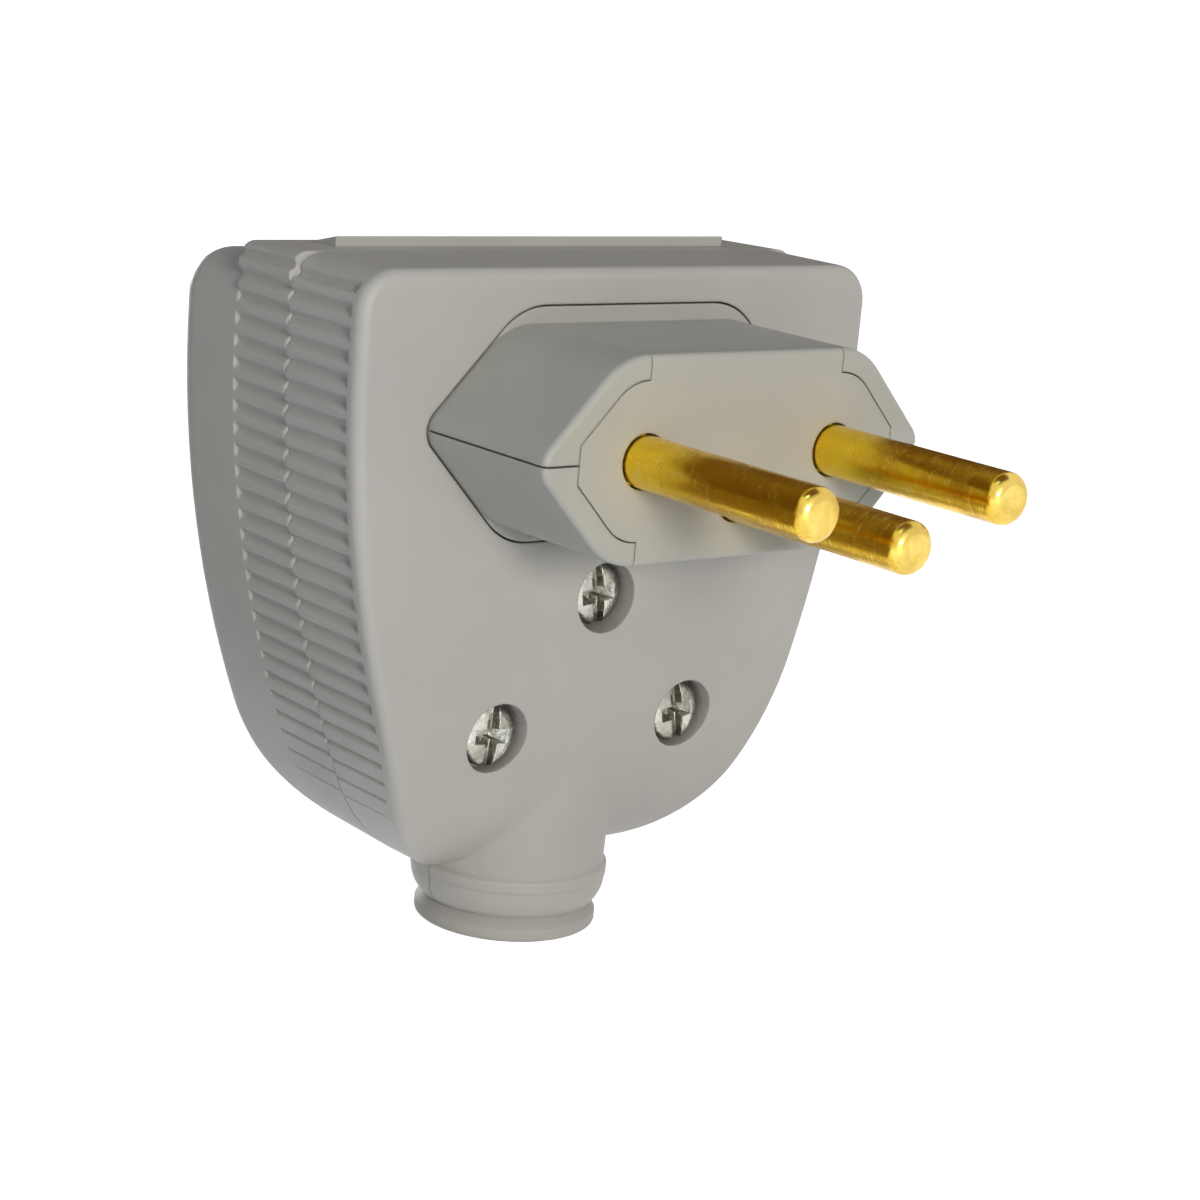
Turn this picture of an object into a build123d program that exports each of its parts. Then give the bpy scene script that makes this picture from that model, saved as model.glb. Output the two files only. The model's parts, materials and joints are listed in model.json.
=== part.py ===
from build123d import *
import math
import os

# Right-angle rewirable plug with two round pole pins, an offset earth pin and a hexagonal engagement block.
# The frame's origin is midway between the pole pins on the engagement face.
# The pins point along -Y, the housing lies along +Y, and the cable leaves downwards, along -Z.

# Pins
pin_diameter = 4.0
pin_length = 19.0
pin_spacing = 19.0
earth_drop = 3.0
pin_tip_round = 0.9
pin_relief_diameter = 3.5
pin_relief_width = 1.0
pin_hole_clearance = 0.15
collar_diameter = 5.8
collar_thickness = 1.4
shank_diameter = 5.2
shank_length = 9.0
shank_clearance = 0.1
wire_hole_diameter = 2.4
wire_hole_setback = 3.4

# Terminal screws, driven into the back of each pin
terminal_screw_diameter = 3.0
terminal_screw_length = 4.5
terminal_head_diameter = 4.8
terminal_head_height = 1.8
thread_clearance = 0.05

# Hexagonal engagement block, made of an upper and a lower half shell
block_vertex_half = 19.6
block_flat_half = 12.1
block_half_height = 7.9
block_reach = 14.1
block_rim = 1.8
block_corner_round = 5.5
block_vertex_round = 2.0
block_edge_round = 0.5
seam_gap = 0.16
web_thickness = 2.0

# Flange of the block, flush with the cover, and the lip behind the cover's wall
flange_half_height = 9.2
flange_gap = 0.15
lip_rise = 0.5
lip_spread = 1.4
lip_thickness = 2.0

# Insert that closes the block and carries the pins
insert_thickness = 3.0
insert_flat_half = 15.7
insert_clearance = 0.1
tab_half_width = 9.6
tab_thickness = 1.5

# Housing outline, seen from the pins
body_half_width = 25.6
corner_radius = 3.2
side_start = 6.0
side_radius = 91.0
shoulder_height = -30.5
bottom_radius = 13.5
body_bottom = -38.4

# Housing depth and walls
cover_depth = 9.7
housing_depth = 17.2
cover_bottom_rise = 17.5
housing_bottom_rise = 12.0
housing_draft = 1.5
housing_top_drop = 1.25
housing_corner_radius = 4.0
crown_corner_radius = 1.6
wall = 2.2
lip_top_clearance = 0.2
cover_edge_round = 0.9
housing_edge_round = 3.4
parting_groove_width = 0.14
parting_groove_depth = 0.14

# Ribbed grips on both sides, made by grooves that grow shallower at the lower end
rib_pitch = 1.74
rib_count = 26
rib_fading = 8
groove_width = 1.2
groove_floor = 0.3
groove_depth = 0.42
groove_cut_rise = 0.2
cover_groove_start = 3.2
housing_groove_start = 1.89
grip_front_margin = 1.4
grip_rear_reach = 7.5

# Finger ramp on top of the rear housing, with its step facing the pins
ramp_half_width = 19.8
ramp_start = 2.7
ramp_length = 4.6
ramp_rise = 0.75
ramp_root = 0.4

# Cover screws and their bosses
top_screw_height = -14.4
low_screw_height = -25.2
low_screw_half_spacing = 9.66
screw_diameter = 3.0
screw_length = 14.0
screw_head_diameter = 5.1
screw_head_height = 2.0
screw_head_round = 0.8
screw_sink = 1.0
screw_hole_clearance = 0.2
counterbore_diameter = 5.9
boss_diameter = 7.0
recess_width = 0.8
recess_depth = 1.0
recess_length = 3.0

# Neck, bead and cable grommet
neck_top_radius = 9.2
neck_top = -25.0
neck_waist_radius = 8.4
neck_pinch_radius = 8.0
neck_pinch = -38.55
bead_radius = 8.3
bead_top = -38.9
bead_bottom = -39.75
bead_step = 0.1
taper_middle_radius = 8.0
taper_middle = -41.1
neck_end_radius = 7.35
neck_end = -42.1
neck_bore_radius = 6.4
neck_bore_top = -30.0
neck_rib_radius = 5.2
neck_rib_top = -39.6
neck_rib_bottom = -40.8
grommet_clearance = 0.15
grommet_top = -36.8
grommet_waist_radius = 6.95
grommet_waist = 0.2
grommet_flare = 0.9
grommet_flange_radius = 7.65
grommet_flange = 1.0
grommet_edge_round = 0.4
cable_bore_radius = 3.6

# Cord clamp inside the rear housing
clamp_height = -30.9
clamp_bar_half_length = 9.2
clamp_bar_width = 3.6
clamp_bar_thickness = 2.0
clamp_end_round = 1.7
clamp_seat = 0.5
clamp_screw_half_spacing = 6.8
clamp_screw_diameter = 2.5
clamp_screw_length = 7.0
clamp_head_diameter = 4.2
clamp_head_height = 1.5
clamp_boss_diameter = 4.4
cable_gap = 6.0
saddle_half_width = 3.5

# Posts that hold the block's lip against the cover
post_diameter = 4.0
post_half_spacing = 19.2

# Cutting shapes run this far past the faces that they cut, and places closer than the tolerance are one
overrun = 1.0
tolerance = 0.01

# Places that follow from the sizes above
cover_face = block_reach
top_height = flange_half_height + lip_rise + lip_top_clearance + wall
parting = cover_face + cover_depth
housing_back = parting + housing_depth
lip_front = cover_face + wall
lip_back = lip_front + lip_thickness
slant = (block_vertex_half - block_flat_half) / block_half_height
slant_normal_x = 1 / math.hypot(1, slant)
pocket_half_height = block_half_height - block_rim
screw_seat = cover_face + screw_sink + screw_head_height
screw_places = {
    "cover_screw_top": (0.0, top_screw_height),
    "cover_screw_left": (-low_screw_half_spacing, low_screw_height),
    "cover_screw_right": (low_screw_half_spacing, low_screw_height),
}
pin_places = {
    "left": (-pin_spacing / 2, 0.0),
    "right": (pin_spacing / 2, 0.0),
    "earth": (0.0, -earth_drop),
}
reach = 4 * body_half_width
front_plane = Plane(origin=(0, parting, 0), x_dir=(1, 0, 0), z_dir=(0, -1, 0))
rear_plane = Plane(origin=(0, parting, 0), x_dir=(-1, 0, 0), z_dir=(0, 1, 0))


def rod(x, z, start, end, radius):
    """A round bar along Y from start to end."""
    return Pos(x, (start + end) / 2, z) * Rot(90, 0, 0) * Cylinder(radius, end - start)


def block_of(x_range, y_range, z_range):
    """A plain box given by its limits on each axis."""
    size = [high - low for low, high in (x_range, y_range, z_range)]
    middle = [(high + low) / 2 for low, high in (x_range, y_range, z_range)]
    return Pos(*middle) * Box(*size)


def slab(face, start, end):
    """A flat XZ outline drawn out along Y from start to end."""
    plane = Plane(origin=(0, end, 0), x_dir=(1, 0, 0), z_dir=(0, -1, 0))
    return extrude(plane * face, end - start)


def arc(centre, radius, start, end):
    """A round stretch between two angles, in degrees."""
    angles = [math.radians(a) for a in (start, (start + end) / 2, end)]
    points = [(centre[0] + radius * math.cos(a), centre[1] + radius * math.sin(a)) for a in angles]
    return ThreePointArc(*points)


def side_edges(inset, drop=0, corner=corner_radius):
    """The right side of the housing outline, from the top corner, lowered by drop, round to the bottom."""
    corner_centre = (body_half_width - corner, top_height - drop - corner)
    side_centre = (body_half_width - side_radius, side_start)
    turn = math.degrees(math.asin((side_start - shoulder_height) / side_radius))
    lean = math.radians(turn)
    run = side_radius - bottom_radius
    bottom_centre = (side_centre[0] + run * math.cos(lean), side_centre[1] - run * math.sin(lean))
    edge_x = body_half_width - inset
    return [
        arc(corner_centre, corner - inset, 90, 0),
        Line((edge_x, corner_centre[1]), (edge_x, side_start)),
        arc(side_centre, side_radius - inset, 0, -turn),
        arc(bottom_centre, bottom_radius - inset, -turn, -90),
    ]


def outline(inset, drop=0, corner=corner_radius):
    """The housing outline, moved inwards by inset, with its top lowered by drop."""
    right = Curve() + side_edges(inset, drop, corner)
    left = mirror(right, about=Plane.YZ)
    start = right.edges()[0] @ 0
    end = right.edges()[-1] @ 1
    top = Line((-start.X, start.Y), (start.X, start.Y))
    bottom = Line((-end.X, end.Y), (end.X, end.Y))
    return make_face(right + left + top + bottom)


def depth_profile(depth, rise, inset, direction):
    """The side view of one housing half: straight above, with an elliptical round at the bottom."""
    seam_height = body_bottom + rise
    far = parting + direction * (depth - inset)
    turn = EllipticalCenterArc(
        (parting, seam_height), depth - inset, rise - inset, 270, arc_size=direction * 90)
    over = top_height + depth
    rest = Polyline((far, seam_height), (far, over), (parting, over), (parting, body_bottom + inset))
    return extrude(Plane.YZ * make_face(Curve() + [turn, rest]), reach, both=True)


def cover_form(inset):
    """The front half of the housing as a solid, moved inwards by inset."""
    limit = depth_profile(cover_depth, cover_bottom_rise, inset, -1)
    return extrude(front_plane * outline(inset), cover_depth - inset) & limit


def housing_form(inset):
    """The rear half of the housing as a solid, moved inwards by inset. It narrows a little to the back."""
    limit = depth_profile(housing_depth, housing_bottom_rise, inset, 1)
    face = rear_plane * outline(inset, housing_top_drop, housing_corner_radius)
    return extrude(face, housing_depth - inset, taper=housing_draft) & limit


def rounded_rim(form, rise, radius):
    """Rounds the far edge of a housing half, right along its sides and its bottom."""
    seam_height = body_bottom + rise
    rim = []
    for edge in form.edges():
        middle = edge @ 0.5
        along = edge % 0.5
        on_parting = abs(middle.Y - parting) < tolerance
        runs_back = abs(along.Y) > 1 - tolerance and edge.geom_type == GeomType.LINE
        is_seam = abs(middle.Z - seam_height) < tolerance and abs(along.X) > 1 - tolerance
        if not (on_parting or runs_back or is_seam):
            rim.append(edge)
    return fillet(rim, radius)


def housing_crown(inset, corner):
    """The front part of the rear housing's top, which stands above the rest, moved inwards by inset."""
    crown = extrude(rear_plane * outline(inset, 0, corner), grip_rear_reach - inset, taper=housing_draft)
    return crown & block_of((-reach, reach), (parting, reach), (side_start, reach))


def finger_ramp():
    """The wedge on the crown that fingers pull on: a step towards the pins that falls away to the back."""
    start = parting + ramp_start
    low = top_height - ramp_root
    corners = [(start, low), (start, top_height + ramp_rise), (start + ramp_length, low)]
    return extrude(Plane.YZ * make_face(Polyline(*corners, close=True)), ramp_half_width, both=True)


def grip_grooves(first, corner):
    """The sections of all grooves on the right side, from a first distance down the outline."""
    path = Wire(side_edges(0, 0, corner))
    slope = (groove_width - groove_floor) / 2 / groove_depth
    grooves = Sketch()
    for rib in range(rib_count):
        share = min(1, (rib_count - rib) / rib_fading)
        place = path.position_at(first + rib * rib_pitch, PositionMode.LENGTH)
        along = path.tangent_at(first + rib * rib_pitch, PositionMode.LENGTH)
        depth = groove_depth * share
        floor = groove_floor * share / 2
        mouth = floor + slope * (depth + groove_cut_rise)
        corners = [(-mouth, groove_cut_rise), (-floor, -depth), (floor, -depth), (mouth, groove_cut_rise)]
        points = [(place.X + along.X * run - along.Y * lift, place.Y + along.Y * run + along.X * lift)
                  for run, lift in corners]
        grooves += make_face(Polyline(*points, close=True))
    return grooves


def both_sides(shape):
    """A shape and its mirror image across the plug's middle."""
    return shape + mirror(shape, about=Plane.YZ)


def cover_grips():
    """The grooves along both sides of the front cover."""
    grooves = grip_grooves(cover_groove_start, corner_radius)
    cuts = extrude(front_plane * grooves, cover_depth - grip_front_margin)
    limit = depth_profile(cover_depth, cover_bottom_rise, 0, -1)
    return both_sides(cuts & Pos(0, grip_front_margin, 0) * limit)


def housing_grips():
    """The grooves along both sides of the rear housing. Their field narrows round the bottom."""
    seam_height = body_bottom + housing_bottom_rise
    edge = parting + grip_rear_reach
    over = top_height + grip_rear_reach
    narrowing = EllipticalCenterArc(
        (parting, seam_height), grip_rear_reach, housing_bottom_rise, 270, arc_size=90)
    rest = Polyline((edge, seam_height), (edge, over), (parting, over), (parting, body_bottom))
    limit = extrude(Plane.YZ * make_face(Curve() + [narrowing, rest]), reach, both=True)
    corner = Pos(body_half_width, parting, 0)
    leaning = corner * Rot(0, 0, housing_draft) * corner.inverse()
    grooves = grip_grooves(housing_groove_start, crown_corner_radius)
    return both_sides(leaning * slab(grooves, parting - overrun, edge + overrun) & limit)


def neck_form(inset):
    """The round neck, its bead and the taper below it, moved inwards by inset."""
    waist_middle = (neck_pinch + neck_top) / 2
    taper_top = bead_radius - bead_step - inset
    waist = ThreePointArc((neck_top_radius - inset, neck_top), (neck_waist_radius - inset, waist_middle),
                          (neck_pinch_radius - inset, neck_pinch))
    bead = Polyline((neck_pinch_radius - inset, neck_pinch), (bead_radius - inset, bead_top),
                    (bead_radius - inset, bead_bottom), (taper_top, bead_bottom))
    taper = ThreePointArc((taper_top, bead_bottom), (taper_middle_radius - inset, taper_middle),
                          (neck_end_radius - inset, neck_end))
    closing = Polyline((neck_end_radius - inset, neck_end), (0, neck_end), (0, neck_top),
                       (neck_top_radius - inset, neck_top))
    return turned(make_face(Curve() + [waist, bead, taper, closing]))


def turned(face):
    """A half section, drawn as radius and height, turned about the cable's axis."""
    return Pos(0, parting, 0) * revolve(Plane.XZ * face, Axis.Z)


def neck_bore():
    """The hole through the neck, with a rib that holds the grommet."""
    return turned(make_face(Polyline(
        (0, neck_bore_top), (neck_bore_radius, neck_bore_top), (neck_bore_radius, neck_rib_top),
        (neck_rib_radius, neck_rib_top), (neck_rib_radius, neck_rib_bottom),
        (neck_bore_radius, neck_rib_bottom), (neck_bore_radius, neck_end), (0, neck_end), close=True)))


def parting_groove(direction):
    """The narrow groove along the parting line, on one side of it."""
    width = direction * parting_groove_width / 2
    limits = sorted((parting, parting + width))
    around = slab(outline(-overrun), *limits) - slab(outline(parting_groove_depth), *limits)
    neck_box = block_of((-neck_top_radius, neck_top_radius), limits, (neck_end - overrun, neck_top))
    below = block_of((-reach, reach), limits, (-reach, body_bottom))
    neck = (neck_form(-overrun) - neck_form(parting_groove_depth)) & below
    return (around - neck_box) + neck


def half_space(direction):
    """Everything on one side of the parting plane."""
    limits = sorted((parting, parting + direction * reach))
    return block_of((-reach, reach), limits, (-reach, reach))


def hexagon(half_height, spread, corner_round, vertex_round):
    """A flat-topped hexagon with the block's slanted sides, moved outwards by spread."""
    vertex_x = block_vertex_half + spread / slant_normal_x
    flat_x = vertex_x - half_height * slant
    face = make_face(Polyline((vertex_x, 0), (flat_x, half_height), (-flat_x, half_height), (-vertex_x, 0),
                              (-flat_x, -half_height), (flat_x, -half_height), close=True))
    corners = face.vertices().filter_by(lambda v: abs(v.Y) > tolerance)
    face = fillet(corners, corner_round)
    tips = face.vertices().filter_by(lambda v: abs(v.Y) < tolerance)
    return fillet(tips, vertex_round) if vertex_round else face


def pocket(clearance):
    """The hollow of the block, cut short at the hexagon's tips."""
    inner = hexagon(pocket_half_height - clearance, -block_rim - clearance, block_corner_round - block_rim, 0)
    half = insert_flat_half - clearance
    return inner & Rectangle(2 * half, 2 * block_half_height)


def block_prism():
    """The outside of the engagement block, as far back as the cover's face."""
    prism = slab(hexagon(block_half_height, 0, block_corner_round, block_vertex_round), 0, cover_face)
    return fillet(prism.faces().sort_by(Axis.Y)[0].edges(), block_edge_round)


def tab_space(clearance):
    """The room of the insert's top and bottom tabs in the block's rim."""
    half = tab_half_width + clearance
    inner = pocket_half_height - block_rim
    high = block_half_height + overrun
    top = block_of((-half, half), (-overrun, tab_thickness), (inner, high))
    return top + mirror(top, about=Plane.XY)


def pin_block():
    """Both half shells of the engagement block in one piece, before they are split."""
    flange = hexagon(flange_half_height, 0, block_corner_round, block_vertex_round)
    lip = hexagon(flange_half_height + lip_rise, lip_spread, block_corner_round, block_vertex_round)
    shape = block_prism() + slab(flange, cover_face, lip_front) + slab(lip, lip_front, lip_back)
    shape -= slab(pocket(0), -overrun, lip_back + overrun)
    shape -= tab_space(insert_clearance)
    web_front = insert_thickness + collar_thickness + shank_clearance
    web = slab(pocket(0), web_front, web_front + web_thickness)
    bore = shank_diameter / 2 + shank_clearance
    for x, z in pin_places.values():
        web -= rod(x, z, 0, lip_back, bore)
    earth_x, earth_z = pin_places["earth"]
    web -= block_of((earth_x - bore, earth_x + bore), (0, lip_back), (earth_z, 0))
    seam_start = insert_flat_half - overrun
    seam = block_of((seam_start, reach), (-overrun, cover_face), (-seam_gap / 2, seam_gap / 2))
    return shape + web - both_sides(seam)


def pin_insert():
    """The face of the block between its rims, with a hole for each pin."""
    outside = block_prism()
    shape = outside & slab(pocket(insert_clearance), 0, insert_thickness)
    shape += outside & tab_space(0)
    for x, z in pin_places.values():
        shape -= rod(x, z, -overrun, insert_thickness + overrun, pin_diameter / 2 + pin_hole_clearance)
    return shape


def pin(x, z):
    """A turned pin with a relief behind the block's face, a collar and a terminal shank with its holes."""
    blade = rod(x, z, -pin_length, 0, pin_diameter / 2)
    blade = fillet(blade.edges().filter_by(GeomType.CIRCLE).sort_by(Axis.Y)[0], pin_tip_round)
    collar_end = insert_thickness + collar_thickness
    shank_end = collar_end + shank_length
    shape = blade + rod(x, z, 0, pin_relief_width, pin_relief_diameter / 2)
    shape += rod(x, z, pin_relief_width, insert_thickness, pin_diameter / 2)
    shape += rod(x, z, insert_thickness, collar_end, collar_diameter / 2)
    shape += rod(x, z, collar_end, shank_end, shank_diameter / 2)
    wire_hole = Cylinder(wire_hole_diameter / 2, 2 * shank_diameter)
    shape -= Pos(x, shank_end - wire_hole_setback, z) * wire_hole
    screw_hole = terminal_screw_diameter / 2 + thread_clearance
    return shape - rod(x, z, shank_end - terminal_screw_length - overrun, shank_end + overrun, screw_hole)


def slotted(head, x, z, face, direction):
    """A screw head with one slot cut into its outer face."""
    depth = sorted((face, face + direction * recess_depth))
    return head - block_of((x - reach, x + reach), depth, (z - recess_width / 2, z + recess_width / 2))


def terminal_screw(x, z):
    """A slotted screw that closes the wire hole from behind."""
    seat = insert_thickness + collar_thickness + shank_length
    top = seat + terminal_head_height
    head = slotted(rod(x, z, seat, top, terminal_head_diameter / 2), x, z, top, -1)
    return head + rod(x, z, seat - terminal_screw_length, seat, terminal_screw_diameter / 2)


def cover_screw(x, z):
    """A pan-head screw with a slot and a cross recess."""
    top = screw_seat - screw_head_height
    head = rod(x, z, top, screw_seat, screw_head_diameter / 2)
    head = fillet(head.edges().filter_by(GeomType.CIRCLE).sort_by(Axis.Y)[0], screw_head_round)
    half = recess_width / 2
    arm = recess_length / 2
    head -= block_of((x - half, x + half), (top, top + recess_depth), (z - reach, z + reach))
    head -= block_of((x - arm, x + arm), (top, top + recess_depth), (z - half, z + half))
    return head + rod(x, z, screw_seat, screw_seat + screw_length, screw_diameter / 2)


def front_cover():
    """The front half of the housing, with the block's opening and the screws' counterbores."""
    outside = rounded_rim(cover_form(0), cover_bottom_rise, cover_edge_round)
    shape = outside - cover_grips() + (neck_form(0) & half_space(-1))
    shape -= cover_form(wall)
    for x, z in screw_places.values():
        shape += rod(x, z, cover_face + wall / 2, parting, boss_diameter / 2)
    shape -= neck_bore()
    opening = hexagon(flange_half_height + flange_gap, flange_gap, block_corner_round, block_vertex_round)
    shape -= slab(opening, cover_face - overrun, lip_front)
    for x, z in screw_places.values():
        shape -= rod(x, z, cover_face - overrun, screw_seat, counterbore_diameter / 2)
        shape -= rod(x, z, screw_seat, parting, screw_diameter / 2 + screw_hole_clearance)
    return shape - parting_groove(-1)


def rear_housing():
    """The rear half of the housing, with its bosses, posts, saddle and finger ramp."""
    outside = rounded_rim(housing_form(0), housing_bottom_rise, housing_edge_round)
    shape = outside + housing_crown(0, crown_corner_radius) + finger_ramp() - housing_grips()
    shape += neck_form(0) & half_space(1)
    shape -= housing_form(wall) + housing_crown(wall, corner_radius)
    inside = housing_form(wall / 2)
    clamp_seat_y = parting + clamp_seat
    studs = [rod(x, z, parting, housing_back, boss_diameter / 2) for x, z in screw_places.values()]
    for side in (-1, 1):
        studs.append(rod(side * clamp_screw_half_spacing, clamp_height, clamp_seat_y, housing_back,
                         clamp_boss_diameter / 2))
    saddle_z = (clamp_height - clamp_bar_width / 2, clamp_height + clamp_bar_width / 2)
    saddle_y = (clamp_seat_y + cable_gap, housing_back)
    studs.append(block_of((-saddle_half_width, saddle_half_width), saddle_y, saddle_z))
    for stud in studs:
        shape += stud & inside
    for side in (-1, 1):
        post = rod(side * post_half_spacing, 0, parting, housing_back, post_diameter / 2) & inside
        shape += post + rod(side * post_half_spacing, 0, lip_back, parting, post_diameter / 2)
    shape -= neck_bore()
    thread_radius = screw_diameter / 2 + thread_clearance
    for x, z in screw_places.values():
        shape -= rod(x, z, parting, screw_seat + screw_length + overrun, thread_radius)
    for side in (-1, 1):
        shape -= rod(side * clamp_screw_half_spacing, clamp_height, clamp_seat_y - clamp_bar_thickness,
                     clamp_seat_y + clamp_screw_length, clamp_screw_diameter / 2 + thread_clearance)
    return shape - parting_groove(1)


def cord_clamp():
    """The bar that presses the cord on the saddle."""
    half = clamp_bar_half_length
    limits = (clamp_height - clamp_bar_width / 2, clamp_height + clamp_bar_width / 2)
    seat = parting + clamp_seat
    bar = block_of((-half, half), (seat - clamp_bar_thickness, seat), limits)
    bar = fillet(bar.edges().filter_by(Axis.Y), clamp_end_round)
    for side in (-1, 1):
        bar -= rod(side * clamp_screw_half_spacing, clamp_height, seat - clamp_bar_thickness - overrun,
                   seat + overrun, clamp_screw_diameter / 2 + screw_hole_clearance)
    return bar


def cord_clamp_screw(x):
    """A slotted screw of the cord clamp."""
    seat = parting + clamp_seat - clamp_bar_thickness
    top = seat - clamp_head_height
    head = slotted(rod(x, clamp_height, top, seat, clamp_head_diameter / 2), x, clamp_height, top, 1)
    return head + rod(x, clamp_height, seat, seat + clamp_screw_length, clamp_screw_diameter / 2)


def cable_grommet():
    """The bushing in the neck, with a groove for the neck's rib and a flared flange below the neck."""
    barrel = neck_bore_radius - grommet_clearance
    groove = neck_rib_radius - grommet_clearance
    shoulder = neck_end - grommet_waist
    rim = shoulder - grommet_flare
    foot = rim - grommet_flange
    shape = turned(make_face(Polyline(
        (cable_bore_radius, grommet_top), (barrel, grommet_top), (barrel, neck_rib_top + grommet_clearance),
        (groove, neck_rib_top + grommet_clearance), (groove, neck_rib_bottom - grommet_clearance),
        (barrel, neck_rib_bottom - grommet_clearance), (barrel, neck_end), (grommet_waist_radius, neck_end),
        (grommet_waist_radius, shoulder), (grommet_flange_radius, rim), (grommet_flange_radius, foot),
        (cable_bore_radius, foot), close=True)))
    foot_edges = shape.edges().filter_by(lambda e: e.geom_type == GeomType.CIRCLE).group_by(Axis.Z)[0]
    return fillet(foot_edges.sort_by(SortBy.RADIUS)[-1], grommet_edge_round)


def plug_parts():
    """Every piece of the plug by name."""
    parts = {"front_cover": front_cover(), "rear_housing": rear_housing()}
    whole_block = pin_block()
    parts["pin_block_upper"] = whole_block & block_of((-reach, reach), (-reach, reach), (0, reach))
    parts["pin_block_lower"] = whole_block & block_of((-reach, reach), (-reach, reach), (-reach, 0))
    parts["pin_insert"] = pin_insert()
    for name, (x, z) in pin_places.items():
        parts["pin_" + name] = pin(x, z)
        parts["terminal_screw_" + name] = terminal_screw(x, z)
    for name, (x, z) in screw_places.items():
        parts[name] = cover_screw(x, z)
    parts["cord_clamp"] = cord_clamp()
    parts["cord_clamp_screw_left"] = cord_clamp_screw(-clamp_screw_half_spacing)
    parts["cord_clamp_screw_right"] = cord_clamp_screw(clamp_screw_half_spacing)
    parts["cable_grommet"] = cable_grommet()
    return parts


os.makedirs("parts", exist_ok=True)
for node, shape in plug_parts().items():
    export_step(shape, "parts/" + node + ".step")
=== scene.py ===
"""Looks for a right-angle power plug: moulded grey shells, brass pins and plated screws on a white set."""
import json
import math

import bpy
from mathutils import Matrix, Vector


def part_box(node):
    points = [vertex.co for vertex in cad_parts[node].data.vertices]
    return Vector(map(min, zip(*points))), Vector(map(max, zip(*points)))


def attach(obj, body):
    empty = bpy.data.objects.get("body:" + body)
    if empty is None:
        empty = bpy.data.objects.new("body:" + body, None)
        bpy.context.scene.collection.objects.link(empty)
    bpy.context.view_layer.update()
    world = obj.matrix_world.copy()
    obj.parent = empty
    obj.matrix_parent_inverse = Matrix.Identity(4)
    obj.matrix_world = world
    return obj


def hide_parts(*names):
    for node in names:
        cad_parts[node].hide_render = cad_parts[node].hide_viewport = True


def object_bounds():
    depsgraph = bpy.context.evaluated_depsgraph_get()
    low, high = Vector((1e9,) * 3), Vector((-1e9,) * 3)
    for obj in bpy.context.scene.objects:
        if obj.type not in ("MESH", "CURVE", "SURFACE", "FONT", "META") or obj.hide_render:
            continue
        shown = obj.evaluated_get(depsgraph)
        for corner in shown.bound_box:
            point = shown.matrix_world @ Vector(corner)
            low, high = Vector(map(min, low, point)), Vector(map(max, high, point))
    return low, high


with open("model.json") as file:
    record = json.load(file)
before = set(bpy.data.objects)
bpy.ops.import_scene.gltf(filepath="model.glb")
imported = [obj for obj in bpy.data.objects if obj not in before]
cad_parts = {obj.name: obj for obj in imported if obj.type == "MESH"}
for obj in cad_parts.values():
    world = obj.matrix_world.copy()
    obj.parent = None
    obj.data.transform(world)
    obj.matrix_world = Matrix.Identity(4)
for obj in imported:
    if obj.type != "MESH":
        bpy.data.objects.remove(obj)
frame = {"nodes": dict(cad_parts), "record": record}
cad_low, cad_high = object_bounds()

MM = 0.001
WHITE = (1, 1, 1, 1)

# Camera of the photograph
VIEW_TURN = math.radians(-40.292)
VIEW_LIFT = math.radians(13.324)
VIEW_ROLL = math.radians(5.181)
VIEW_PLACE = Vector((-0.1441, -0.15509, 0.0380))
LENS = 85.605
SENSOR = 36.0
CLIP_START = 0.005
CLIP_END = 50.0

# Light on the set: a fill from all sides, a key at the front, a cool bounce off the floor and a rear lamp
FILL_LIGHT = 0.34
FILL_COLOUR = (0.90, 0.985, 1.09, 1)
KEY_PLACE = Vector((-0.19, -0.59, 0.15))
KEY_SIZE = 0.15
KEY_POWER = 2.70
KEY_COLOUR = (1.0, 0.955, 0.915)
BOUNCE_PLACE = Vector((-0.17, -0.10, 0.30))
BOUNCE_SIZE = 0.16
BOUNCE_POWER = 0.09
BOUNCE_COLOUR = (0.55, 0.90, 1.25)
BOUNCE_SPREAD = math.radians(60)
REAR_PLACE = Vector((0.15, 0.75, 0.0))
REAR_SIZE = 0.16
REAR_POWER = 2.2
REAR_COLOUR = (1, 1, 1)

# Floor, and dark cards that show only in reflections
FLOOR_SIZE = 6.0
FLOOR_COLOUR = (0.90, 0.90, 0.90, 1)
FLOOR_ROUGHNESS = 0.9
FLOOR_GLOW = 0.80
BACK_CARD = Vector((-0.25, 0.60, 0.384))
BACK_CARD_SIZE = (2.4, 0.85)
BACK_CARD_COLOUR = (0.30, 0.17, 0.06, 1)
TOP_CARD = Vector((0.0, -0.05, 0.80))
TOP_CARD_SIZE = (0.80, 1.0)
FLOOR_CARD_RISE = 0.4 * MM
FLOOR_CARD = Vector((-0.33, 0.31, cad_low.z + FLOOR_CARD_RISE))
FLOOR_CARD_SIZE = (0.60, 0.58)
FLOOR_CARD_COLOUR = (0.46, 0.30, 0.14, 1)

# Mould texture of the plastics, as noise per metre: its detail, and a slow change of shade
SKIN_DETAIL = 2.0
SHADE_SCALE = 70.0
SHADE_DETAIL = 4.0
SHADE_RANGE = (0.35, 0.65)

# Masks of outer edges and of gaps
EDGE_SAMPLES = 4
EDGE_RANGE = (0.01, 0.16)
GAP_SAMPLES = 4
GAP_RANGE = (0.45, 0.98)

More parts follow.
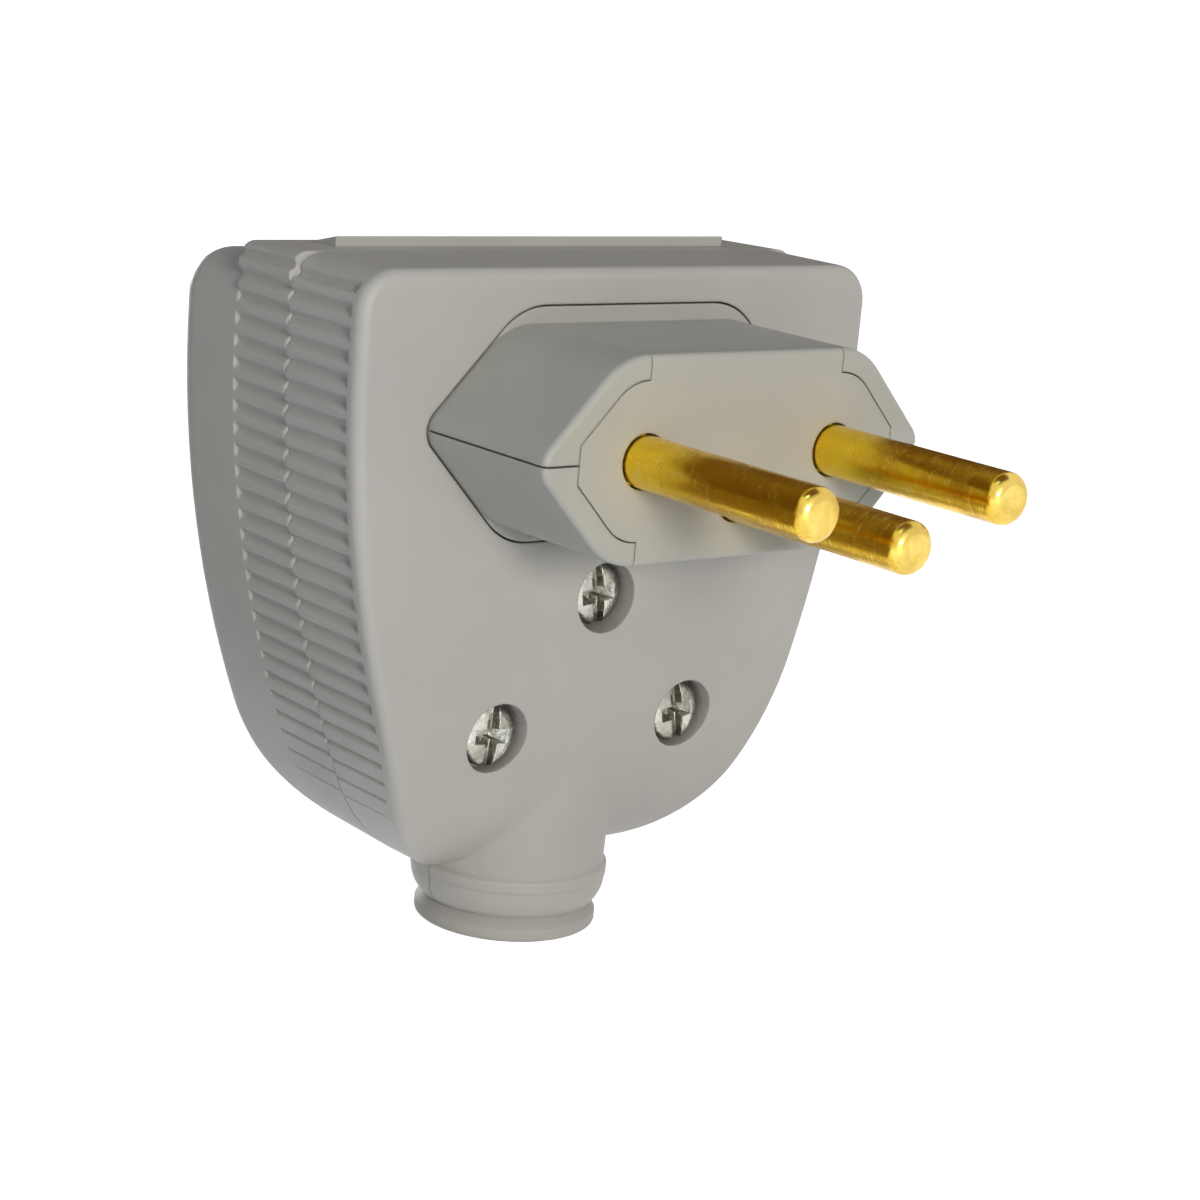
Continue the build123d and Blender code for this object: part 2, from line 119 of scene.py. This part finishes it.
# Wear of the metals, as noise per metre: scratches along Y, rings and short marks round it, and stains
SCRATCH_STRETCH = (9000.0, 260.0, 9000.0)
SCRATCH_DETAIL = 2.0
SCRATCH_CUT = 0.86
SCRATCH_CUT_DROP = 0.2
RING_STRETCH = (120.0, 9000.0, 120.0)
RING_DETAIL = 3.0
MARK_STRETCH = (650.0, 2400.0, 650.0)
MARK_DETAIL = 2.0
MARK_RANGE = (0.58, 0.68)
STAIN_SCALE = 420.0
STAIN_DETAIL = 6.0
STAIN_ROUGHNESS = 0.65
STAIN_RANGE = (0.42, 0.66)

# Plastics: sheen, light that sinks in and softens small shadows, painted shade with some grime in deep gaps,
# pale edges painted as highlights and wear, and fine skin
PLASTIC_SHEEN = 0.42
DEPTH_SHARE = 0.45
DEPTH_REACH = 0.8 * MM
DEPTH_COLOURS = (1.0, 0.97, 0.92)
GAP_REACH = 0.35 * MM
GAP_SHADE_START = 0.5
# Edges are painted paler: a highlight along them, and rubbing wear.
EDGE_SHARE = 0.35
SMOOTHER = 0.04
ROUGHER = 0.05
SKIN_HEIGHT = 0.02 * MM
SKIN_STRENGTH = 0.35

# Soft crease where the neck leaves the shells, clear of the low screws and of the bead
NECK_CREASE = 1.5 * MM
CREASE_TOP = -22.5 * MM
CREASE_END = -37.5 * MM
CREASE_HALF_WIDTH = 13.0 * MM
SCREWS_LOW = -29.3 * MM
SCREWS_APART = 6.0 * MM
CREASE_FADE = 0.5 * MM

# Brass of the pins: a bright foot painted as a highlight, a browned and stained length beyond it, and a tip
# rubbed pale
PIN_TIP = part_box("pin_left")[0].y
TIP_RUB = 0.9 * MM
TIP_SHARE = 0.9
TIP_STAIN_SHARE = 0.6
FOOT_END = -3.5 * MM
FOOT_STAIN_SHARE = 0.45
BROWN_START = -7.5 * MM
BROWN_SHARE = 0.7
SCRATCHES = 0.8
SCRATCH_SHARE = 0.6
MARK_SHARE = 0.5
BRASS_EDGE = 0.2 * MM
BRASS_ROUGHNESS = (0.18, 0.34)
STAIN_HEIGHT = 1.5
RING_HEIGHT = 0.02 * MM
RING_STRENGTH = 0.4

# Plated steel of the screws and the clamp
STEEL_EDGE = 0.1 * MM
STEEL_EDGE_SHARE = 0.6
STEEL_EDGE_COLOUR = (0.80, 0.79, 0.74, 1)
STEEL_STAIN_SHARE = 0.8
STEEL_ROUGHER = 0.2
# The recesses of the heads are darkened: painted shade, with grime.
RECESS_REACH = 2.5 * MM
RECESS_SHARE = 0.9
RECESS_SHADE_AND_GRIME = (0.06, 0.057, 0.045, 1)
DENT_SCALE = 1100.0
DENT_WEIGHT = 2.0
DENT_STRENGTH = 0.6

# Cover screws; each step of the crown goes inward in mm and up by a share of the crown's height
SCREW_SIDES = 64
SCREW_HEAD = 2.0 * MM
SCREW_EDGE_HEIGHT = 1.55 * MM
CROWN_STEPS = ((0.16, 0.42), (0.28, 0.30), (0.50, 0.18), (0.70, 0.10))
SCREW_SHANK = 1.46 * MM
SCREW_ROOT = 1.15 * MM
SCREW_POINT = 0.45
THREAD_PITCH = 1.0 * MM
THREAD_PLAIN = 1.0 * MM
CROSS_LENGTH = 3.7 * MM
CROSS_WIDTH = 1.4 * MM
CROSS_DEPTH = 1.7 * MM
CROSS_TAPER = 0.42
SLOT_WIDTH = 1.1 * MM
SLOT_DEPTH = 0.9 * MM
SLOT_TAPER = 0.9
CUTTER_OVERRUN = 0.5 * MM
ALONG_Z = 0.9
SCREW_EDGE_ROUND = 0.07 * MM
SCREW_EDGE_ANGLE = math.radians(32)
SMOOTH_ANGLE = math.radians(38)
SCREW_TURNS = {"cover_screw_top": 8, "cover_screw_left": -4, "cover_screw_right": 10}


def node(tree, kind, **values):
    """A new shader node with its named settings."""
    made = tree.nodes.new(kind)
    for key, value in values.items():
        setattr(made, key, value)
    return made


def link(tree, source, target):
    tree.links.new(source, target)


def maths(tree, operation, first, second=None):
    """A Math node on two sockets or numbers, and its output."""
    made = node(tree, "ShaderNodeMath", operation=operation)
    for slot, value in enumerate((first, second)):
        if value is None:
            continue
        if isinstance(value, (int, float)):
            made.inputs[slot].default_value = value
        else:
            link(tree, value, made.inputs[slot])
    return made.outputs[0]


def ranged(tree, value, low, high, out_low=0.0, out_high=1.0):
    """A value taken from one range to another, with its ends held."""
    made = node(tree, "ShaderNodeMapRange", clamp=True)
    link(tree, value, made.inputs["Value"])
    made.inputs["From Min"].default_value = low
    made.inputs["From Max"].default_value = high
    made.inputs["To Min"].default_value = out_low
    made.inputs["To Max"].default_value = out_high
    return made.outputs["Result"]


def mixed(tree, share, first, second):
    """A colour between two colours or sockets."""
    made = node(tree, "ShaderNodeMix", data_type="RGBA")
    link(tree, share, made.inputs["Factor"])
    for label, value in (("A", first), ("B", second)):
        socket = next(s for s in made.inputs if s.name == label and s.type == "RGBA")
        if isinstance(value, tuple):
            socket.default_value = value
        else:
            link(tree, value, socket)
    return next(s for s in made.outputs if s.type == "RGBA")


def tinted(tree, mask, share, first, second):
    """The first colour, with a share of the second where the mask is one."""
    return mixed(tree, maths(tree, "MULTIPLY", mask, share), first, second)


def noise(tree, place, scale, detail=3.0, roughness=0.55):
    made = node(tree, "ShaderNodeTexNoise")
    link(tree, place, made.inputs["Vector"])
    made.inputs["Scale"].default_value = scale
    made.inputs["Detail"].default_value = detail
    made.inputs["Roughness"].default_value = roughness
    return made.outputs["Fac"]


def stretched_noise(tree, place, stretch, detail):
    """Noise with a scale of its own along each axis."""
    made = node(tree, "ShaderNodeMapping")
    link(tree, place, made.inputs["Vector"])
    made.inputs["Scale"].default_value = stretch
    return noise(tree, made.outputs["Vector"], 1.0, detail)


def object_place(tree):
    return node(tree, "ShaderNodeTexCoord").outputs["Object"]


def new_group(name, inputs, numbers, vectors=()):
    """A shader node group with number inputs, and number and vector outputs."""
    group = bpy.data.node_groups.new(name, "ShaderNodeTree")
    for label, value in inputs.items():
        socket = group.interface.new_socket(name=label, in_out="INPUT", socket_type="NodeSocketFloat")
        socket.default_value = value
    for label in numbers:
        group.interface.new_socket(name=label, in_out="OUTPUT", socket_type="NodeSocketFloat")
    for label in vectors:
        group.interface.new_socket(name=label, in_out="OUTPUT", socket_type="NodeSocketVector")
    start = group.nodes.new("NodeGroupInput")
    end = group.nodes.new("NodeGroupOutput")
    return group, start, end


def moulded_skin():
    """Fine spark texture of a mould and the slow change of shade of a moulding."""
    group, start, end = new_group("moulded_skin", {"Grain": 5200.0}, ("Height", "Shade"))
    place = object_place(group)
    grain = node(group, "ShaderNodeTexNoise")
    link(group, place, grain.inputs["Vector"])
    link(group, start.outputs["Grain"], grain.inputs["Scale"])
    grain.inputs["Detail"].default_value = SKIN_DETAIL
    link(group, grain.outputs["Fac"], end.inputs["Height"])
    shade = noise(group, place, SHADE_SCALE, SHADE_DETAIL)
    link(group, ranged(group, shade, *SHADE_RANGE), end.inputs["Shade"])
    return group


def edge_mask_and_rounding():
    """A mask of outer edges, and a normal that rounds them."""
    group, start, end = new_group("edge_mask_and_rounding", {"Radius": 0.3 * MM}, ("Edge",), ("Normal",))
    rounded = node(group, "ShaderNodeBevel", samples=EDGE_SAMPLES)
    link(group, start.outputs["Radius"], rounded.inputs["Radius"])
    surface = node(group, "ShaderNodeNewGeometry").outputs["Normal"]
    alike = node(group, "ShaderNodeVectorMath", operation="DOT_PRODUCT")
    link(group, rounded.outputs["Normal"], alike.inputs[0])
    link(group, surface, alike.inputs[1])
    edge = ranged(group, maths(group, "SUBTRACT", 1.0, alike.outputs["Value"]), *EDGE_RANGE)
    link(group, edge, end.inputs["Edge"])
    link(group, rounded.outputs["Normal"], end.inputs["Normal"])
    return group


def crevices():
    """A mask of creases and gaps where grime and shade gather."""
    group, start, end = new_group("crevices", {"Reach": 0.8 * MM}, ("Depth",))
    open_sky = node(group, "ShaderNodeAmbientOcclusion", samples=GAP_SAMPLES)
    link(group, start.outputs["Reach"], open_sky.inputs["Distance"])
    depth = maths(group, "SUBTRACT", 1.0, open_sky.outputs["AO"])
    link(group, ranged(group, depth, *GAP_RANGE), end.inputs["Depth"])
    return group


def rubbed_lines():
    """Scratches along Y, turning rings and short marks across it, and stains, as masks."""
    group, start, end = new_group("rubbed_lines", {"Amount": 0.5}, ("Along", "Across", "Stains", "Marks"))
    place = object_place(group)
    along = stretched_noise(group, place, SCRATCH_STRETCH, SCRATCH_DETAIL)
    across = stretched_noise(group, place, RING_STRETCH, RING_DETAIL)
    stains = noise(group, place, STAIN_SCALE, STAIN_DETAIL, STAIN_ROUGHNESS)
    marks = stretched_noise(group, place, MARK_STRETCH, MARK_DETAIL)
    drop = maths(group, "MULTIPLY", start.outputs["Amount"], SCRATCH_CUT_DROP)
    lines = maths(group, "GREATER_THAN", along, maths(group, "SUBTRACT", SCRATCH_CUT, drop))
    link(group, lines, end.inputs["Along"])
    link(group, across, end.inputs["Across"])
    link(group, ranged(group, stains, *STAIN_RANGE), end.inputs["Stains"])
    link(group, ranged(group, marks, *MARK_RANGE), end.inputs["Marks"])
    return group


GROUPS = {
    "moulded_skin": moulded_skin(),
    "edge_mask_and_rounding": edge_mask_and_rounding(),
    "crevices": crevices(),
    "rubbed_lines": rubbed_lines(),
}


def effect(tree, name, **values):
    """One of the shared effects, placed in a material with its own values."""
    made = tree.nodes.new("ShaderNodeGroup")
    made.node_tree = GROUPS[name]
    for label, value in values.items():
        made.inputs[label].default_value = value
    return made.outputs


def new_material(name, **values):
    """A Principled material with its constant values on the shader itself."""
    material = bpy.data.materials.new(name)
    material.use_nodes = True
    tree = material.node_tree
    shader = tree.nodes["Principled BSDF"]
    for label, value in values.items():
        shader.inputs[label.replace("_", " ")].default_value = value
    return material, tree, shader


def bumped(tree, shader, height, distance, strength, normal):
    """Gives a shader fine relief on top of a normal."""
    made = node(tree, "ShaderNodeBump")
    made.inputs["Distance"].default_value = distance
    made.inputs["Strength"].default_value = strength
    link(tree, height, made.inputs["Height"])
    link(tree, normal, made.inputs["Normal"])
    link(tree, made.outputs["Normal"], shader.inputs["Normal"])


def near_neck(tree):
    """One where the neck leaves the shells, fading out round the screws and the bead."""
    place = node(tree, "ShaderNodeSeparateXYZ")
    link(tree, object_place(tree), place.inputs["Vector"])
    aside = maths(tree, "ABSOLUTE", place.outputs["X"])
    height = place.outputs["Z"]
    between = ranged(tree, aside, SCREWS_APART + CREASE_FADE, SCREWS_APART - CREASE_FADE)
    lower = ranged(tree, height, SCREWS_LOW + CREASE_FADE, SCREWS_LOW - CREASE_FADE)
    within = ranged(tree, aside, CREASE_HALF_WIDTH, CREASE_HALF_WIDTH - CREASE_FADE)
    top = ranged(tree, height, CREASE_TOP, CREASE_TOP - CREASE_FADE)
    bottom = ranged(tree, height, CREASE_END, CREASE_END + CREASE_FADE)
    beside = maths(tree, "MULTIPLY", maths(tree, "MAXIMUM", between, lower), within)
    return maths(tree, "MULTIPLY", beside, maths(tree, "MULTIPLY", top, bottom))


def grey_plastic(name, colour, shade, gap_shade_and_grime, edge_highlight_and_wear, grain, rough, edge_radius, shade_and_dirt, crease=0.0):
    """Moulded plastic: two close greys, painted shade with some grime in the creases, paler edges painted as
    highlights and rubbing, and a fine skin.
    """
    material, tree, shader = new_material(
        name, Specular_IOR_Level=PLASTIC_SHEEN, Subsurface_Weight=DEPTH_SHARE,
        Subsurface_Radius=DEPTH_COLOURS, Subsurface_Scale=DEPTH_REACH)
    skin = effect(tree, "moulded_skin", Grain=grain)
    edges = effect(tree, "edge_mask_and_rounding", Radius=edge_radius)
    if crease:
        rounding = ranged(tree, near_neck(tree), 0.0, 1.0, edge_radius, crease)
        link(tree, rounding, edges["Edge"].node.inputs["Radius"])
    gaps = effect(tree, "crevices", Reach=GAP_REACH)
    body = mixed(tree, skin["Shade"], colour, shade)
    # Paler edges: a painted highlight along them, and rubbing wear.
    paled = tinted(tree, edges["Edge"], EDGE_SHARE, body, edge_highlight_and_wear)
    # Painted shade, with some grime, darkens the deep gaps and creases that the gap mask finds.
    shaded_and_grimy = mixed(tree, ranged(tree, gaps["Depth"], GAP_SHADE_START, 1.0, 0.0, shade_and_dirt), paled, gap_shade_and_grime)
    link(tree, shaded_and_grimy, shader.inputs["Base Color"])
    roughness = ranged(tree, skin["Shade"], 0.0, 1.0, rough - SMOOTHER, rough + ROUGHER)
    link(tree, roughness, shader.inputs["Roughness"])
    bumped(tree, shader, skin["Height"], SKIN_HEIGHT, SKIN_STRENGTH, edges["Normal"])
    return material


def turned_brass(name):
    """Turned brass: a bright foot painted as a highlight, a browned and scratched length, a pale tip and
    rings from the lathe.
    """
    material, tree, shader = new_material(name, Metallic=1.0)
    lines = effect(tree, "rubbed_lines", Amount=SCRATCHES)
    edges = effect(tree, "edge_mask_and_rounding", Radius=BRASS_EDGE)
    foot_highlight_gold = (0.99, 0.70, 0.045, 1)
    amber = (0.93, 0.54, 0.03, 1)
    length_gold = (0.82, 0.52, 0.03, 1)
    brown = (0.46, 0.23, 0.01, 1)
    pale = (0.96, 0.74, 0.20, 1)
    tip_pale = (0.82, 0.62, 0.17, 1)
    tip_worn = (0.58, 0.37, 0.05, 1)
    along = node(tree, "ShaderNodeSeparateXYZ")
    link(tree, object_place(tree), along.inputs["Vector"])
    tip = ranged(tree, along.outputs["Y"], PIN_TIP + TIP_RUB, PIN_TIP, 0.0, TIP_SHARE)
    beyond_lit_foot = ranged(tree, along.outputs["Y"], FOOT_END, BROWN_START)
    stained = tinted(tree, lines["Stains"], BROWN_SHARE, length_gold, brown)
    # The foot is painted a brighter gold as a highlight, with fewer stains than the length.
    lit_foot = tinted(tree, lines["Stains"], FOOT_STAIN_SHARE, foot_highlight_gold, amber)
    length = mixed(tree, beyond_lit_foot, lit_foot, stained)
    paled = tinted(tree, lines["Along"], SCRATCH_SHARE, length, pale)
    marked = tinted(tree, lines["Marks"], MARK_SHARE, paled, pale)
    end = tinted(tree, lines["Stains"], TIP_STAIN_SHARE, tip_pale, tip_worn)
    link(tree, mixed(tree, tip, marked, end), shader.inputs["Base Color"])
    link(tree, ranged(tree, lines["Stains"], 0.0, 1.0, *BRASS_ROUGHNESS), shader.inputs["Roughness"])
    height = maths(tree, "ADD", lines["Across"], maths(tree, "MULTIPLY", lines["Stains"], STAIN_HEIGHT))
    bumped(tree, shader, height, RING_HEIGHT, RING_STRENGTH, edges["Normal"])
    return material


def plated_steel(name, colour, stain, rough, dent):
    """Zinc plated steel: a pale greenish grey, dents, dull stains, and painted shade with dark grime down in
    the recesses.
    """
    material, tree, shader = new_material(name, Metallic=1.0)
    lines = effect(tree, "rubbed_lines")
    edges = effect(tree, "edge_mask_and_rounding", Radius=STEEL_EDGE)
    gaps = effect(tree, "crevices", Reach=RECESS_REACH)
    stained = tinted(tree, lines["Stains"], STEEL_STAIN_SHARE, colour, stain)
    paled = tinted(tree, edges["Edge"], STEEL_EDGE_SHARE, stained, STEEL_EDGE_COLOUR)
    # Painted shade, with dark grime, fills the recesses.
    shaded_and_grimy = tinted(tree, gaps["Depth"], RECESS_SHARE, paled, RECESS_SHADE_AND_GRIME)
    link(tree, shaded_and_grimy, shader.inputs["Base Color"])
    roughness = ranged(tree, lines["Stains"], 0.0, 1.0, rough, rough + STEEL_ROUGHER)
    link(tree, roughness, shader.inputs["Roughness"])
    hollows = maths(tree, "MULTIPLY", noise(tree, object_place(tree), DENT_SCALE), DENT_WEIGHT)
    dents = maths(tree, "ADD", lines["Stains"], hollows)
    bumped(tree, shader, dents, dent, DENT_STRENGTH, edges["Normal"])
    return material


MATERIALS = {
    "shell_plastic": grey_plastic(
        "shell_plastic",
        colour=(0.43, 0.41, 0.37, 1), shade=(0.405, 0.385, 0.355, 1),
        gap_shade_and_grime=(0.10, 0.098, 0.09, 1), edge_highlight_and_wear=(0.50, 0.485, 0.45, 1),
        grain=5200.0, rough=0.46, edge_radius=0.3 * MM, shade_and_dirt=0.75, crease=NECK_CREASE),
    "block_plastic": grey_plastic(
        "block_plastic",
        colour=(0.395, 0.385, 0.335, 1), shade=(0.375, 0.365, 0.325, 1),
        gap_shade_and_grime=(0.09, 0.088, 0.08, 1), edge_highlight_and_wear=(0.47, 0.46, 0.41, 1),
        grain=7000.0, rough=0.42, edge_radius=0.3 * MM, shade_and_dirt=0.8),
    "grommet_rubber": grey_plastic(
        "grommet_rubber",
        colour=(0.40, 0.385, 0.35, 1), shade=(0.38, 0.365, 0.335, 1),
        gap_shade_and_grime=(0.08, 0.078, 0.07, 1), edge_highlight_and_wear=(0.46, 0.445, 0.41, 1),
        grain=4200.0, rough=0.62, edge_radius=0.4 * MM, shade_and_dirt=0.6),
    "pin_brass": turned_brass("pin_brass"),
    "screw_steel": plated_steel(
        "screw_steel", colour=(0.56, 0.55, 0.48, 1), stain=(0.24, 0.23, 0.18, 1),
        rough=0.22, dent=0.10 * MM),
    "clamp_steel": plated_steel(
        "clamp_steel", colour=(0.58, 0.57, 0.55, 1), stain=(0.40, 0.39, 0.37, 1),
        rough=0.34, dent=0.04 * MM),
}


def dress_nodes():
    """Gives each CAD node the material of its slot in the record."""
    for subpart in frame["record"]["subparts"]:
        piece = frame["nodes"][subpart["node"]]
        piece.data.materials.clear()
        piece.data.materials.append(MATERIALS[subpart["material_slot"]])


def deselect():
    if bpy.context.object and bpy.context.object.mode != "OBJECT":
        bpy.ops.object.mode_set(mode="OBJECT")
    bpy.ops.object.select_all(action="DESELECT")


def select_faces(piece, wanted):
    """In edit mode, selects the faces for which wanted(face) holds, and no others."""
    bpy.ops.mesh.select_all(action="DESELECT")
    bpy.ops.object.mode_set(mode="OBJECT")
    for face in piece.data.polygons:
        face.select = wanted(face)
    bpy.ops.object.mode_set(mode="EDIT")
    bpy.ops.mesh.select_mode(type="FACE")


def looks_up(face):
    return face.normal.z > ALONG_Z


def looks_down(face):
    return face.normal.z < -ALONG_Z


def draw_down(drop):
    """Extrudes the selected faces down along Z."""
    bpy.ops.mesh.extrude_region_move(TRANSFORM_OT_translate={"value": (0, 0, -drop)})


def scale_round_z(share):
    """Scales the selected faces about the Z axis."""
    bpy.ops.transform.resize(value=(share, share, 1), center_override=(0, 0, 0))


def apply_modifier(piece, kind, **values):
    made = piece.modifiers.new(kind.title(), kind)
    for key, value in values.items():
        setattr(made, key, value)
    bpy.context.view_layer.objects.active = piece
    bpy.ops.object.modifier_apply(modifier=made.name)


def tapered_bar(length, width, depth, taper):
    """A bar that sinks from Z 0 and narrows towards its lower face: a cutter for a screw's recess."""
    deselect()
    bpy.ops.mesh.primitive_cube_add(size=1)
    bar = bpy.context.object
    bar.scale = (length, width, depth + CUTTER_OVERRUN)
    bar.location = (0, 0, (CUTTER_OVERRUN - depth) / 2)
    bpy.ops.object.transform_apply(location=True, rotation=True, scale=True)
    bpy.ops.object.mode_set(mode="EDIT")
    select_faces(bar, looks_down)
    scale_round_z(taper)
    bpy.ops.object.mode_set(mode="OBJECT")
    return bar


def cut(piece, cutter, turn):
    """Takes a cutter, turned about Z, out of a piece and deletes it."""
    cutter.rotation_euler = (0, 0, turn)
    apply_modifier(piece, "BOOLEAN", operation="DIFFERENCE", solver="EXACT", object=cutter)
    bpy.data.objects.remove(cutter)


def cover_screw():
    """A threaded screw with a cross recess and a slot in its head, its crown at the origin, its axis on Z."""
    low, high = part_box("cover_screw_top")
    radius = (high.x - low.x) / 2
    length = high.y - low.y
    crown = SCREW_HEAD - SCREW_EDGE_HEIGHT
    deselect()
    bpy.ops.mesh.primitive_cylinder_add(
        vertices=SCREW_SIDES, radius=radius, depth=SCREW_EDGE_HEIGHT,
        location=(0, 0, -SCREW_HEAD + SCREW_EDGE_HEIGHT / 2))
    screw = bpy.context.object
    bpy.ops.object.transform_apply(location=True, rotation=True, scale=True)
    bpy.ops.object.mode_set(mode="EDIT")
    select_faces(screw, looks_up)
    for inward, upward in CROWN_STEPS:
        bpy.ops.mesh.inset(thickness=inward * MM, depth=upward * crown)
    select_faces(screw, looks_down)
    bpy.ops.mesh.inset(thickness=radius - SCREW_SHANK, depth=0)
    draw_down(THREAD_PLAIN)
    narrow = SCREW_ROOT / SCREW_SHANK
    turns = int((length - SCREW_HEAD - 2 * THREAD_PLAIN) / THREAD_PITCH)
    for _ in range(turns):
        for change in (narrow, 1 / narrow):
            draw_down(THREAD_PITCH / 2)
            scale_round_z(change)
    draw_down(THREAD_PLAIN)
    scale_round_z(SCREW_POINT)
    bpy.ops.object.mode_set(mode="OBJECT")
    for turn in (0.0, math.pi / 2):
        cut(screw, tapered_bar(CROSS_LENGTH, CROSS_WIDTH, CROSS_DEPTH, CROSS_TAPER), turn)
    cut(screw, tapered_bar(3 * radius, SLOT_WIDTH, SLOT_DEPTH, SLOT_TAPER), math.pi / 2)
    apply_modifier(screw, "BEVEL", width=SCREW_EDGE_ROUND, segments=2, limit_method="ANGLE",
                   angle_limit=SCREW_EDGE_ANGLE)
    deselect()
    screw.select_set(True)
    bpy.context.view_layer.objects.active = screw
    bpy.ops.object.shade_smooth_by_angle(angle=SMOOTH_ANGLE)
    screw.data.materials.append(MATERIALS["screw_steel"])
    return screw


def place_screws():
    """Puts a copy of the screw, with a mesh of its own, where each cover screw of the CAD model is."""
    pattern = cover_screw()
    for name, turn in SCREW_TURNS.items():
        low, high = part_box(name)
        piece = pattern.copy()
        piece.data = pattern.data.copy()
        piece.name = name + "_detail"
        bpy.context.scene.collection.objects.link(piece)
        crown = Vector(((low.x + high.x) / 2, low.y, (low.z + high.z) / 2))
        facing = Matrix.Rotation(math.pi / 2, 4, "X") @ Matrix.Rotation(math.radians(turn), 4, "Z")
        piece.data.transform(Matrix.Translation(crown) @ facing)
        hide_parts(name)
        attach(piece, "root")
    bpy.data.objects.remove(pattern)


def add_camera():
    """The photograph's camera, from its turn, lift, roll and place."""
    back = Vector((math.sin(VIEW_TURN) * math.cos(VIEW_LIFT),
                   -math.cos(VIEW_TURN) * math.cos(VIEW_LIFT), math.sin(VIEW_LIFT)))
    level = Vector((math.cos(VIEW_TURN), math.sin(VIEW_TURN), 0))
    above = back.cross(level)
    right = math.cos(VIEW_ROLL) * level + math.sin(VIEW_ROLL) * above
    up = math.cos(VIEW_ROLL) * above - math.sin(VIEW_ROLL) * level
    data = bpy.data.cameras.new("photo_camera")
    data.lens = LENS
    data.sensor_width = SENSOR
    data.clip_start = CLIP_START
    data.clip_end = CLIP_END
    camera = bpy.data.objects.new("photo_camera", data)
    bpy.context.scene.collection.objects.link(camera)
    turned = Matrix((right, up, back)).transposed().to_4x4()
    camera.matrix_world = Matrix.Translation(VIEW_PLACE) @ turned
    bpy.context.scene.camera = camera


def soft_lamp(name, place, aim, size, power, colour, spread=math.pi):
    """A square lamp at a place, turned to what it aims at."""
    data = bpy.data.lights.new(name, "AREA")
    data.color = colour
    data.shape = "SQUARE"
    data.size = size
    data.energy = power
    data.spread = spread
    lamp = bpy.data.objects.new(name, data)
    bpy.context.scene.collection.objects.link(lamp)
    facing = (aim - place).to_track_quat("-Z", "Y").to_matrix().to_4x4()
    lamp.matrix_world = Matrix.Translation(place) @ facing


def seen_directly(tree):
    """One for rays of the camera, of reflections and of clear materials, and nought for the rest."""
    path = node(tree, "ShaderNodeLightPath").outputs
    seen = maths(tree, "MAXIMUM", path["Is Camera Ray"], path["Is Glossy Ray"])
    return maths(tree, "MAXIMUM", seen, path["Is Transmission Ray"])


def dark_card(name, place, size, tilt, colour):
    """A dark card, seen only in reflections, which gives the brass its dark streak."""
    deselect()
    bpy.ops.mesh.primitive_plane_add(size=1, location=place, rotation=(tilt, 0, 0))
    card = bpy.context.object
    card.name = name
    card.scale = (size[0], size[1], 1)
    material = new_material(name, Roughness=1.0, Specular_IOR_Level=0.0, Base_Color=colour)[0]
    card.data.materials.append(material)
    card.visible_camera = False
    card.visible_diffuse = False
    card.visible_shadow = False


def white_set():
    """A white world, a pale floor under the plug that keeps its shadow, the dark cards and the lamps."""
    world = bpy.data.worlds.new("white_set")
    bpy.context.scene.world = world
    world.use_nodes = True
    tree = world.node_tree
    backdrop = tree.nodes["Background"]
    seen = seen_directly(tree)
    link(tree, mixed(tree, seen, FILL_COLOUR, WHITE), backdrop.inputs["Color"])
    link(tree, ranged(tree, seen, 0.0, 1.0, FILL_LIGHT, 1.0), backdrop.inputs["Strength"])
    deselect()
    bpy.ops.mesh.primitive_plane_add(size=FLOOR_SIZE, location=(0, 0, cad_low.z))
    floor = bpy.context.object
    floor.name = "floor"
    material, tree, shader = new_material(
        "floor", Roughness=FLOOR_ROUGHNESS, Specular_IOR_Level=0.0,
        Base_Color=FLOOR_COLOUR, Emission_Color=WHITE)
    glow = maths(tree, "MULTIPLY", seen_directly(tree), FLOOR_GLOW)
    link(tree, glow, shader.inputs["Emission Strength"])
    floor.data.materials.append(material)
    dark_card("back_card", BACK_CARD, BACK_CARD_SIZE, math.pi / 2, BACK_CARD_COLOUR)
    dark_card("top_card", TOP_CARD, TOP_CARD_SIZE, 0.0, BACK_CARD_COLOUR)
    dark_card("floor_card", FLOOR_CARD, FLOOR_CARD_SIZE, 0.0, FLOOR_CARD_COLOUR)
    middle = (cad_low + cad_high) / 2
    soft_lamp("key_light", KEY_PLACE, middle, KEY_SIZE, KEY_POWER, KEY_COLOUR)
    soft_lamp("rear_light", REAR_PLACE, middle, REAR_SIZE, REAR_POWER, REAR_COLOUR)
    below = Vector((BOUNCE_PLACE.x, BOUNCE_PLACE.y, cad_low.z))
    soft_lamp("bounce_light", BOUNCE_PLACE, below, BOUNCE_SIZE, BOUNCE_POWER, BOUNCE_COLOUR, BOUNCE_SPREAD)
    bpy.context.scene.view_settings.view_transform = "Standard"


add_camera()
dress_nodes()
place_screws()
white_set()

deselect()
